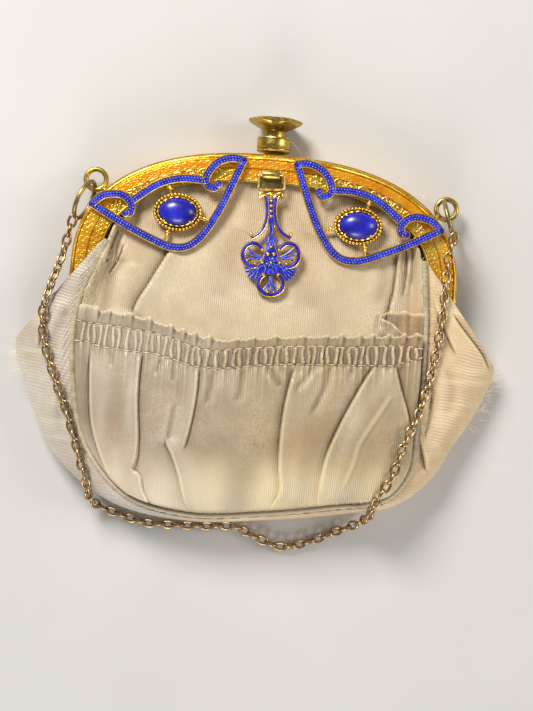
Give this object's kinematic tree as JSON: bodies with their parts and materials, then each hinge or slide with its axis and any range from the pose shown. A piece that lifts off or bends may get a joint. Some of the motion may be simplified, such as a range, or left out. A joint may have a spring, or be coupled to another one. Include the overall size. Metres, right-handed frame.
{
  "type": "clutch bag",
  "caption": "Small satin evening purse with a gilt arched frame, push clasp, blue enamel mounts with oval stones, a hinged enamel drop, a gathered front pocket and a carrying chain.",
  "frame": {"origin": "middle of the bounding box, on the ground", "axes": "+X across the purse to the viewer's right, +Y from the foot of the pouch to the clasp, +Z out of the purse's front, up from the ground it lies on"},
  "size_m": [0.1602, 0.1432, 0.027],
  "materials": {
    "gilt": "worn gilding, engraved, with amber lacquer on the frame band",
    "aged_brass": "aged, faintly brushed",
    "dark_brass": "darkened, bright where worn",
    "blue_enamel": "royal blue enamel over stamped dots",
    "blue_stone": "polished ultramarine cabochon",
    "satin": "champagne silk satin, worn and stained",
    "piping_cord": "grey-green cord"
  },
  "bodies": {
    "purse": {"frame_front": "gilt", "frame_back": "gilt", "hinge_rivet_left": "gilt", "hinge_rivet_right": "gilt", "eye_mount_left": "gilt", "eye_mount_right": "gilt", "eye_enamel_left": "blue_enamel", "eye_enamel_right": "blue_enamel", "cabochon_left": "blue_stone", "cabochon_right": "blue_stone", "jump_ring_left": "dark_brass", "jump_ring_right": "dark_brass", "chain": "dark_brass", "front_panel": "satin", "back_panel": "satin", "gusset": "satin", "pocket": "satin", "piping": "piping_cord"},
    "clasp_knob": {"clasp_knob": "aged_brass"},
    "drop": {"drop_plate": "gilt", "drop_enamel": "blue_enamel"}
  },
  "joints": [
    {"name": "clasp_push", "type": "slide", "parent": "purse", "child": "clasp_knob", "axis": [0, -1, 0], "range_m": [0, 0.002], "stiffness_N_per_m": 400},
    {"name": "drop_swing", "type": "hinge", "parent": "purse", "child": "drop", "pos_m": [0.0009, 0.05264, 0.0142], "axis": [-1, 0, 0], "range_deg": [0, 155]}
  ]
}
